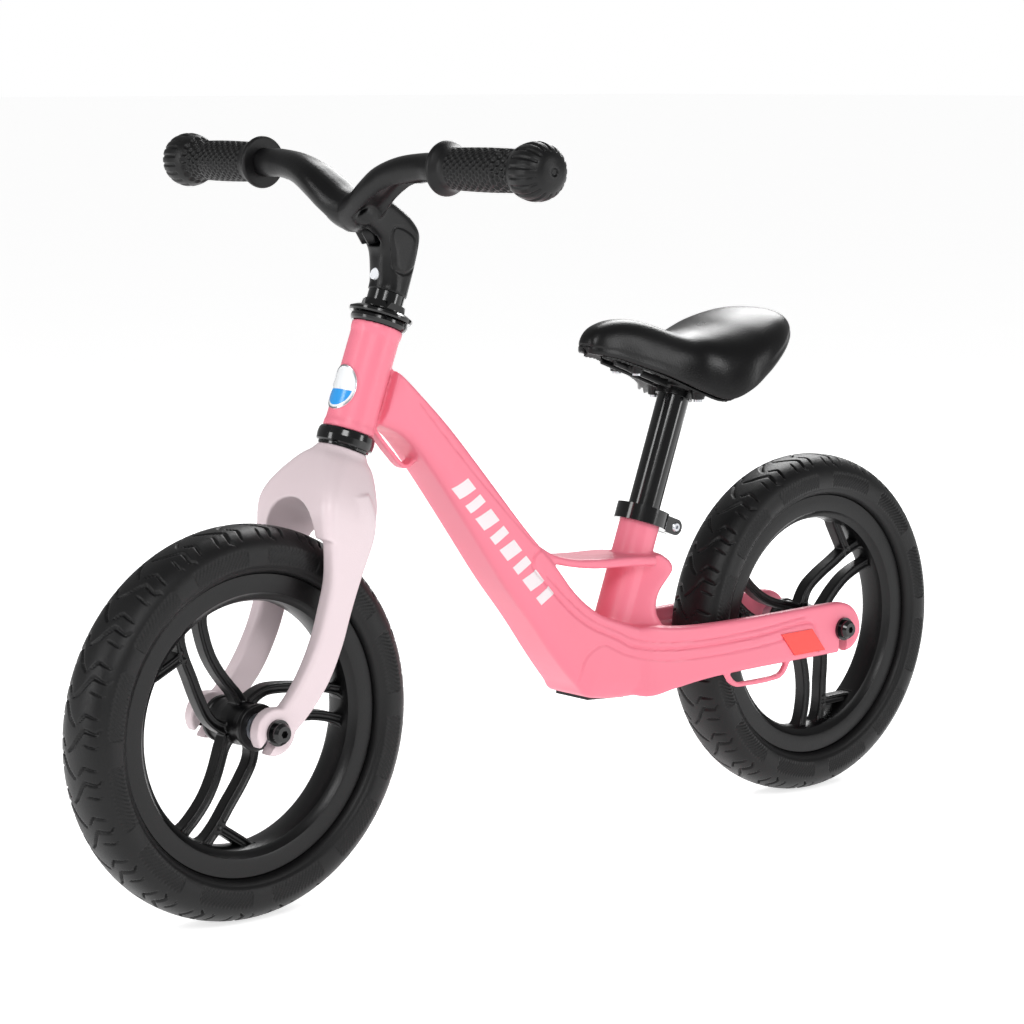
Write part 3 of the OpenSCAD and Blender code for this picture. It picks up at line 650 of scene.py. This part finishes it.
def badge_patch(name, inner, outer, radius, thick, high=2.0):
    """A curved oval sheet on the head tube, from the inner to the outer share of the badge's size,
    cut off above the share high."""
    rows, cols = 28, 72
    middle, half_tall, half_turn = 30.4, 18, math.radians(45)
    front, back = [], []
    for i in range(rows + 1):
        k = inner + (outer - inner) * i / rows
        for j in range(cols):
            t = 2 * math.pi * j / cols
            a = k * math.cos(t) * half_turn
            s = middle + min(k * math.sin(t), high) * half_tall
            for store, r in ((front, radius + thick), (back, radius)):
                x, z = steer(s, r * math.cos(a))
                store.append((x, r * math.sin(a), z))
    n, m = cols, len(front)
    faces = [(i * n + j, i * n + (j + 1) % n, (i + 1) * n + (j + 1) % n, (i + 1) * n + j)
             for i in range(rows) for j in range(cols)]
    faces += [tuple(q + m for q in reversed(f)) for f in faces]
    for first in (rows * n, 0):
        faces += [(first + j, first + (j + 1) % n, first + (j + 1) % n + m, first + j + m) for j in range(n)]
    obj = new_object(name, front + back, faces)
    bm = bmesh.new()
    bm.from_mesh(obj.data)
    bmesh.ops.remove_doubles(bm, verts=bm.verts, dist=1e-6)
    bmesh.ops.dissolve_degenerate(bm, edges=bm.edges, dist=1e-6)
    bm.to_mesh(obj.data)
    bm.free()
    face_out(obj)
    obj.data.set_sharp_from_angle(angle=CRISP)
    return obj


def build_badge():
    """A generic oval sign that follows the head tube, in three colours."""
    face = badge_patch("badge_plate", 0.02, 0.97, 19.25, 1.1)
    finish_piece(face, BADGE, "frame", "badge_face", "head_badge")
    lower = badge_patch("badge_lower", 0.02, 0.8, 20.3, 0.22, high=-0.1)
    finish_piece(lower, BLUE, "frame", "badge_face")
    ring = badge_patch("badge_ring", 0.9, 0.97, 20.3, 0.3)
    finish_piece(ring, STEEL, "frame", "badge_face")


# ---------------------------------------------------------------- fork
def fork_crown():
    """The crown, with the tyre's arch and the space below it cut through."""
    rows = [[-13.6, 19, -18, 18, 16], [-19, 22, -19.5, 20, 16], [-26, 26, -21, 26, 14],
            [-40, 31, -21, 35, 12], [-54, 34, -20, 42, 10], [-68, 34, -18.5, FORK_FACE - 1, 9],
            [-88, 27, -14, FORK_FACE, 8]]
    crown = loft([side_ring(steer(s, rear), steer(s, ahead), 0, half, r, 7)
                  for s, ahead, rear, half, r in spline_table(rows, 4)])
    arch_at, arch_r, reach = -91, 30, 60
    base = Vector((steer(arch_at)[0], 0, steer(arch_at)[1]))
    ahead = Vector(STEER_AHEAD) * reach
    below = [steer(arch_at, -reach), steer(arch_at, reach), steer(arch_at - reach, reach),
             steer(arch_at - reach, -reach)]
    crown = cut_part(crown, [rod(tuple(base - ahead), tuple(base + ahead), arch_r, 72)])
    return cut_part(crown, [plate(below, -arch_r, arch_r)])


def fork_blade():
    """One blade, from the crown down to the axle."""
    face, inner = FORK_FACE, FORK_INNER
    rows = [[248, 316, 215, 318, 33, 40.5], [256.5, 300, 212, 303, 31, 44.8],
            [256, 280, 215, 284, 30.5, face], [257, 258, 228, 255, 31, face],
            [263, 236, 238, 230, 31.5, face], [272, 212, 247, 205, 32.5, face],
            [287, 187, 260, 180, inner - 1.5, face], [304, 168, 277, 160, inner - 0.5, face],
            [316, 163, 292, 147, inner, face]]
    rings = []
    for row in spline_table(rows, 4):
        ahead, rear, near, far = row[:2], row[2:4], row[4], min(row[5], face)
        rings.append(side_ring(rear, ahead, (near + far) / 2, (far - near) / 2, 4.4, 6))
    return loft(rings)


def build_fork():
    """The fork: crown, two blades with round ends, slots for the axle and a bore for the steerer."""
    blade = fork_blade()
    eye = turned([(0.01, FORK_INNER), (17.2, FORK_INNER), (18, FORK_INNER + 0.8), (18, FORK_FACE - 1),
                  (17, FORK_FACE), (0.01, FORK_FACE)], 72, False, (FRONT_X, 0, WHEEL_R))
    obj = fused("fork_shell", [fork_crown(), blade, mirrored(blade), eye, mirrored(eye)], 0.95, 16)
    slot_turn = math.radians(-50)
    c, q = math.cos(slot_turn), math.sin(slot_turn)
    slot = [(AXLE_SLOT_R * math.cos(t), AXLE_SLOT_R * math.sin(t))
            for t in np.linspace(math.pi / 2, 3 * math.pi / 2, 24)]
    slot += [(60, -AXLE_SLOT_R), (60, AXLE_SLOT_R)]
    slot = [(FRONT_X + x * c - z * q, WHEEL_R + x * q + z * c) for x, z in slot]
    carve(obj, [plate(slot, 32, 52), plate(slot, -52, -32), bore(steer, -66, 0, STEERER_R)])
    finish_piece(obj, PALE, "steering", "fork_plastic", "fork")


# ---------------------------------------------------------------- handlebar and grips
def bar_rings(rows, corner_points, wide_limit=1e9, tall_limit=1e9):
    """Rings across the bar from [y, x, z, half height, half width] stations."""
    rings = []
    for y, x, z, a, b in spline_table(rows, 4):
        a, b = min(a, tall_limit), min(b, wide_limit)
        rings.append([(x + q, y, z + p) for p, q in rounded(b, a, min(a, b) - 0.5, corner_points)])
    return rings


def bar_neck():
    """The neck that rises from the steerer and leans ahead to the bar, with a pocket in its front."""
    base, top = 111.0, 117.0
    rows = [[*steer(base, -15.3), *steer(base, 15.3), 15.3, 15],
            [*steer(top, -15), *steer(top, 15.6), 15, 14.5],
            [143.5, 482, 177, 488, 14.6, 13], [140.5, 497, 177, 498, 14.8, 11],
            [139.5, 510, 181, 506, 14.8, 10], [147.5, 521, 187, 511, 15.8, 10],
            [161.5, 530.5, 194, 516, 17.6, 9], [176, 538.5, 200, 520, 19.6, 9],
            [192, 541.5, 207, 523, 19.6, 9]]
    neck = loft([side_ring(row[2:4], row[:2], 0, row[4], row[5], 7) for row in spline_table(rows, 4)])
    pocket = [[(x, p, 511 + q) for p, q in rounded(a, b, 4, 5)]
              for x, a, b in ((222, 13, 15), (176, 8.5, 9), (171, 7, 7))]
    return cut_part(neck, [loft(pocket)])


def bar_arm():
    """One arm of the bar, hollowed from below."""
    arm = [[-2, 194, 527, 18, 14.8], [10, 195.5, 531, 18.3, 15.2], [24, 198, 540, 18, 15.2],
           [40, 200, 550.3, 16.4, 14], [62, 200, 559.2, 13.2, 12], [86, 199, 563, 11, 11],
           [96, 199, 563, 11, 11], [112, 199, 563, 11, 11]]
    hollow = [[16, 200, 520, 12.5, 11], [30, 200.5, 528.5, 12.5, 11], [44, 201, 538.5, 11, 10],
              [56, 200.5, 545, 9.5, 8.4], [68, 199.5, 549, 7, 6.6], [80, 199, 551, 3, 3.2]]
    return cut_part(loft(bar_rings(arm, 7, wide_limit=15.3, tall_limit=18.4)), [loft(bar_rings(hollow, 6))])


def build_handlebar():
    """The stem and bar in one moulding, with two thin ribs in the neck's pocket."""
    arm = bar_arm()
    obj = fused("handlebar_shell", [bar_neck(), arm, mirrored(arm)], 0.9, 6)
    panel = spline_table([(146, 485), (145, 497), (148, 507), (158, 514), (169, 516), (172, 508), (170, 496),
                          (169, 485), (158, 480), (146, 485)], 4)
    press_grooves(obj, [(panel, 0.5, 1.9, 1.0)], 0.6, 0.25, within=22)
    web = [(170, 505), (186, 503), (192, 512), (190, 519), (170, 517)]
    ribs = new_object("handlebar_ribs", *joined([plate(web, y - 0.8, y + 0.8) for y in (3.6, -3.6)]))
    face_out(ribs)
    finish_piece(ribs, BLACK, "steering", "black_plastic")
    plug_at, plug_r = 121.5, 4.5
    near, far = steer(plug_at, 13.9), steer(plug_at, 40)
    carve(obj, [bore(steer, 105, 134, STEERER_R), rod((near[0], 0, near[1]), (far[0], 0, far[1]), plug_r)])
    finish_piece(obj, BLACK, "steering", "black_plastic", "handlebar")


def pits(ang, along, start, pitch, rows, count, radius, half_wide, half_tall, power, deep):
    """Depths of staggered oval pits round a grip: rows of them a pitch apart, count to a row."""
    row = np.floor((along - start) / pitch)
    turn = (ang / (2 * math.pi) * count + 0.5 * (row % 2)) % 1 - 0.5
    da, dl = turn * 2 * math.pi * radius / count, (along - start) - (row + 0.5) * pitch
    pit = np.clip(1 - (da / half_wide) ** 2 - (dl / half_tall) ** 2, 0, 1) ** power
    return np.where((row >= 0) & (row < rows), deep * pit, 0)


def build_grip(name, sign, node):
    """A soft grip: flange, barrel with rows of pits and a ridged dome."""
    outline = [(11.2, 0.2), (18.4, 0.2), (19.9, 0.9), (20.4, 2.4), (19.9, 4.4), (18, 7), (16.2, 10),
               (15.6, 13), (15.5, 15), (15.8, 26), (16.1, 45), (16.0, 62), (15.7, 74), (15.6, 79),
               (16.4, 83), (18.5, 86.6), (20.3, 91.5), (21.3, 97), (21.3, 101.5), (19.9, 107.5),
               (16.8, 112.4), (12.2, 115.8), (7, 117.4), (3.2, 117.9), (2.4, 116.5), (0.02, 116.4)]
    sec = evenly(spline_table(outline, 3), 230)
    steps = 200
    verts, faces = turned(sec, steps, False, (GRIP[0], sign * GRIP_START, GRIP[1]), axis_z=(0, sign, 0))
    ang = np.repeat(np.arange(steps) * 2 * math.pi / steps, len(sec))
    along = np.tile(sec[:, 1], steps)
    rad = np.tile(sec[:, 0], steps)
    depth = pits(ang, along, 15, 3.6, 14, 20, 15.8, 2.0, 1.3, 0.5, 1.2)
    depth += pits(ang, along, 66, 5.2, 4, 18, 16, 2.4, 2.2, 0.4, 1.9)
    ridge = np.abs((ang / (2 * math.pi) * 18) % 1 - 0.5)
    depth += (soft_step(along, 91, 93) * (1 - soft_step(along, 113, 114.5))
              * 1.1 * (1 - soft_step(ridge, 0.1, 0.22)))
    shrink = 1 - depth / np.maximum(rad, 1)
    verts[:, 0] = GRIP[0] + (verts[:, 0] - GRIP[0]) * shrink
    verts[:, 2] = GRIP[1] + (verts[:, 2] - GRIP[1]) * shrink
    obj = new_object(name, verts, faces)
    face_out(obj)
    finish_piece(obj, RUBBER, "steering", "grip_rubber", node)


# ---------------------------------------------------------------- wheels
def tyre_section():
    """A closed tyre section: crowned tread, curved side walls and a flat seat on the rim."""
    t = np.radians(np.arange(-90, 90.1, 3))
    tread = np.stack([129 + 21 * np.abs(np.cos(t)) ** 0.9,
                      26.8 * np.sign(np.sin(t)) * np.abs(np.sin(t)) ** 0.9], 1)
    q = np.radians(np.arange(6, 90, 6))
    wall = np.stack([129 - 13.5 * np.sin(q), 16.9 + 9.9 * np.cos(q)], 1)
    right = [(115.5, -13.2), (115.5, -16.9)] + [(r, -y) for r, y in wall[::-1]]
    left = [tuple(p) for p in wall] + [(115.5, 16.9), (115.5, 13.2)]
    return np.array(right + [tuple(p) for p in tread] + left)


def tread_cut(theta, rad, y):
    """Depth of the kinked leaf grooves, which alternate from side to side across the tread."""
    pitch, deep = 15.0, 2.0
    leaves = ((0.0, 2.1, -4, 24.0), (4.4, 1.3, 6, 22), (-4.0, 0.9, 12, 23))
    cut = np.zeros(len(theta))
    for s in (1, -1):
        a = s * y
        kink = np.interp(a, [-4, 3, 12, 21, 26], [0.0, 2.2, 7.0, 6.0, 9.6]) + (0 if s > 0 else pitch / 2)
        for shift, wide, lo, hi in leaves:
            d = ((theta - kink - shift + pitch / 2) % pitch) - pitch / 2
            off = np.abs(d) * math.pi / 180 * rad
            w = wide * (0.45 + 0.55 * np.sin(np.clip((a - lo) / (hi - lo), 0, 1) * math.pi))
            cut = np.maximum(cut, deep * (1 - soft_step(off, w * 0.4, w)) * soft_step(a, lo, lo + 2)
                             * (1 - soft_step(a, hi - 2, hi)) * (rad > 132))
    return cut


def wall_cut(theta, rad, y):
    """Depth of the groups of fine slanted ribs and of the bead line on the side walls."""
    period = 1.5
    group = theta % 30
    across = (theta - (rad - 130) * 0.35) % period / period
    rib = soft_step(0.5 - np.abs(across - 0.5), 0.12, 0.36) * (group > 4) * (group < 26)
    rib = rib * soft_step(rad, 123, 125) * (1 - soft_step(rad, 134, 136)) * (np.abs(y) > 17)
    bead = (np.abs(rad - 119.5) < 0.9) * (np.abs(y) > 15)
    return np.maximum(1.0 * rib, 0.5 * bead)


def build_tyre(name, x, node, body):
    """A foam tyre with its tread and side-wall marks cut as real depth."""
    sec = evenly(tyre_section(), 84)
    steps = 1440
    verts, faces = turned(sec, steps, True, (x, 0, WHEEL_R))
    theta = np.repeat(np.arange(steps) * 360.0 / steps, len(sec))
    rad, y = np.tile(sec[:, 0], steps), np.tile(sec[:, 1], steps)
    cut = np.maximum(tread_cut(theta, rad, y), wall_cut(theta, rad, y))
    obj = new_object(name, verts, faces)
    face_out(obj)
    set_points(obj, verts - normals_of(obj) * cut[:, None])
    finish_piece(obj, TYRE, body, "tyre_foam", node)


def spoke(x, line):
    """One slender spoke along (radius, degrees) points, grooved and flared where it meets the rim."""
    wide, deep = 4.0, 6.0
    rows = spline_table(line, 5)
    a = np.radians(rows[:, 1])
    p = np.stack([rows[:, 0] * np.cos(a), rows[:, 0] * np.sin(a)], 1)
    d = np.gradient(p, axis=0)
    normal = np.stack([-d[:, 1], d[:, 0]], 1) / np.linalg.norm(d, axis=1)[:, None]
    rings = []
    for i, (q, m) in enumerate(zip(p, normal)):
        k = i / (len(p) - 1)
        flare = 1 + 0.8 * (1 - min(k / 0.12, 1)) ** 2 + 0.35 * (1 - min((1 - k) / 0.2, 1)) ** 2
        w, h = wide * flare, deep * (1 + 0.4 * (1 - min(k / 0.1, 1)) ** 2)
        shape = [(-w, -h + 0.8), (-w + 0.8, -h), (-w * 0.5, -h), (-w * 0.3, -h + 1.7), (w * 0.3, -h + 1.7),
                 (w * 0.5, -h), (w - 0.8, -h), (w, -h + 0.8)]
        shape += [(-u, -v) for u, v in shape]
        rings.append([(x + q[0] + u * m[0], v, WHEEL_R + q[1] + u * m[1]) for u, v in shape])
    return loft(rings)


def build_rim(name, x, node, body, turn):
    """A moulded rim ring with three pairs of slender spokes, one of each pair branched."""
    half = [(115.3, 16.7), (114.6, 17.2), (109, 17.2), (102, 17.0), (100.6, 16.6), (99.6, 15.4), (97.4, 13),
            (95, 11.8), (93.4, 8)]
    sec = [(115.3, -16.7), (115.3, -13.4), (108.5, -13.4), (108.5, 13.4), (115.3, 13.4)] + half + [(93, 0)]
    sec += [(r, -y) for r, y in reversed(half[1:])]
    ring = new_object(name + "_ring", *turned(sec, 240, True, (x, 0, WHEEL_R)))
    face_out(ring)
    ring.data.set_sharp_from_angle(angle=math.radians(30))
    finish_piece(ring, BLACK, body, "black_plastic", node)

    plain = [[97, 6.5], [80, 3.5], [60, 1.5], [43, 3.5], [30, 10], [16, 24]]
    branched = [[97, -7.5], [80, -13], [60, -20], [43, -32], [30, -48], [16, -66]]
    branch = [[97, -34], [91, -30], [84, -22], [79, -13]]
    parts = [spoke(x, [[r, a + turn + 120 * k] for r, a in line])
             for k in range(3) for line in (plain, branched, branch)]
    half = [(11.1, 17.6), (11.1, 23.8), (12.6, 24), (17.2, 24), (18, 23.2), (18, 19.5), (16.2, 18.2),
            (15.6, 12), (16.4, 4)]
    hub = [(8.5, -17.6), (8.5, 17.6)] + half + [(r, -y) for r, y in reversed(half)]
    parts.append(turned(hub, 96, True, (x, 0, WHEEL_R)))
    finish_piece(fused(name + "_spider", parts, 0.75, 4), BLACK, body, "black_plastic")


# ---------------------------------------------------------------- saddle
# Stations from nose to tail: x, height of the top, height of the edge, half width
SADDLE = [(-43, 413, 407.5, 5), (-46, 420.5, 406, 10), (-54, 427, 404.5, 14), (-70, 431, 401, 17.5),
          (-90, 431, 394, 23), (-110, 427, 386.8, 27.5), (-130, 420.5, 378, 33.5), (-146, 417, 370, 42),
          (-160, 417.5, 364.2, 56), (-178, 421.5, 372.3, 64), (-198, 427.5, 386, 65), (-218, 432, 398.5, 60),
          (-234, 434, 407.5, 51.5), (-247, 432.5, 413, 40), (-256, 427, 416.5, 24), (-259, 421, 418, 10)]
SADDLE_ROWS = spline_table(SADDLE, 4)
SADDLE_HALF = 65.0
SADDLE_TOP = 434.0


def hump(v, power):
    """A power of a number that keeps its sign."""
    return math.copysign(abs(v) ** power, v)


def saddle_ring(x, top, edge, w):
    """The cover's ring at one station: the crown, then the wall and the hollow below."""
    w, h = min(w, SADDLE_HALF), min(top, SADDLE_TOP) - edge
    ring = [(x, -w * hump(math.cos(a), 0.8), edge + h * hump(math.sin(a), 0.75))
            for a in np.radians(np.linspace(0, 180, 41))]
    wall = min(4.5, w * 0.45)
    lift = min(h * 0.4, 7)
    under = [(w - wall * 0.25, -0.9), (w - wall * 0.75, -0.8), (w - wall, 0.6), (w - wall * 1.3, lift * 0.6),
             (max(w - wall * 2.2, w * 0.2), lift), (w * 0.12, lift)]
    ring += [(x, y, edge + dz) for y, dz in under]
    return ring + [(x, -y, edge + dz) for y, dz in reversed(under)]


def build_saddle_cover():
    """A moulded foam cover, hollow below, with a seam above its edge."""
    cover = new_object("saddle_cover_skin", *loft([saddle_ring(*row) for row in SADDLE_ROWS]))
    face_out(cover)
    smooth = cover.modifiers.new("round", "SUBSURF")
    smooth.levels = smooth.render_levels = 1
    settle(cover)
    pts, normals = points_of(cover), normals_of(cover)
    table = np.array(SADDLE)[::-1]
    seam_up, seam_deep = 5.0, 0.6
    seam = np.abs(pts[:, 2] - np.interp(pts[:, 0], table[:, 0], table[:, 2]) - seam_up)
    pts -= normals * (seam_deep * (1 - soft_step(seam, 0.3, 1.3)) * (np.abs(normals[:, 2]) < 0.75))[:, None]
    set_points(cover, pts)
    finish_piece(cover, SKIN, "saddle", "saddle_skin", "saddle_cover")


def build_saddle_base():
    """The dished shell under the cover, with screw bosses, ribs and a boss for the post."""
    thick = 3
    rings = []
    for x, top, edge, w in SADDLE_ROWS[8:-8]:
        half = w * 0.86
        lift = min(7.0, (top - edge) * 0.3)
        ys = np.linspace(-half, half, 17)
        arch = edge - 0.6 + lift * (1 - (ys / half) ** 2)
        rings.append([(x, y, z) for y, z in zip(ys, arch)]
                     + [(x, y, z - thick) for y, z in zip(ys[::-1], arch[::-1])])
    parts = [loft(rings)]
    foot = Vector((SEAT_TOP[0], 0, SEAT_TOP[1]))
    axis = Vector(SEAT_AXIS)
    parts.append(rod(tuple(foot + axis * 106.5), tuple(foot + axis * 116), 21, 64))
    rib = [(-70, 400), (-135, 377), (-135, 370.5), (-70, 394.5)]
    for s in (1, -1):
        parts.append(rod((-92, s * 12, 386.9), (-92, s * 12, 395), 5.5))
        parts.append(rod((-150, s * 26, 362), (-150, s * 26, 370), 5.5))
        parts.append(plate(rib, s * 8 - 1.3, s * 8 + 1.3))
    shell = fused("saddle_base", parts, 0.9, 4)
    carve(shell, [bore(seat, 100, 117.5, SADDLE_HOLE_R)])
    finish_piece(shell, BLACK, "saddle", "black_plastic", "saddle_shell")


build_decal(build_frame())
build_badge()
build_fork()
build_handlebar()
build_grip("grip_skin_left", 1, "grip_left")
build_grip("grip_skin_right", -1, "grip_right")
build_tyre("tyre_front", FRONT_X, "front_tyre", "front_wheel")
build_tyre("tyre_rear", REAR_X, "rear_tyre", "rear_wheel")
build_rim("rim_front", FRONT_X, "front_rim", "front_wheel", 61)
build_rim("rim_rear", REAR_X, "rear_rim", "rear_wheel", 26)
build_saddle_cover()
build_saddle_base()
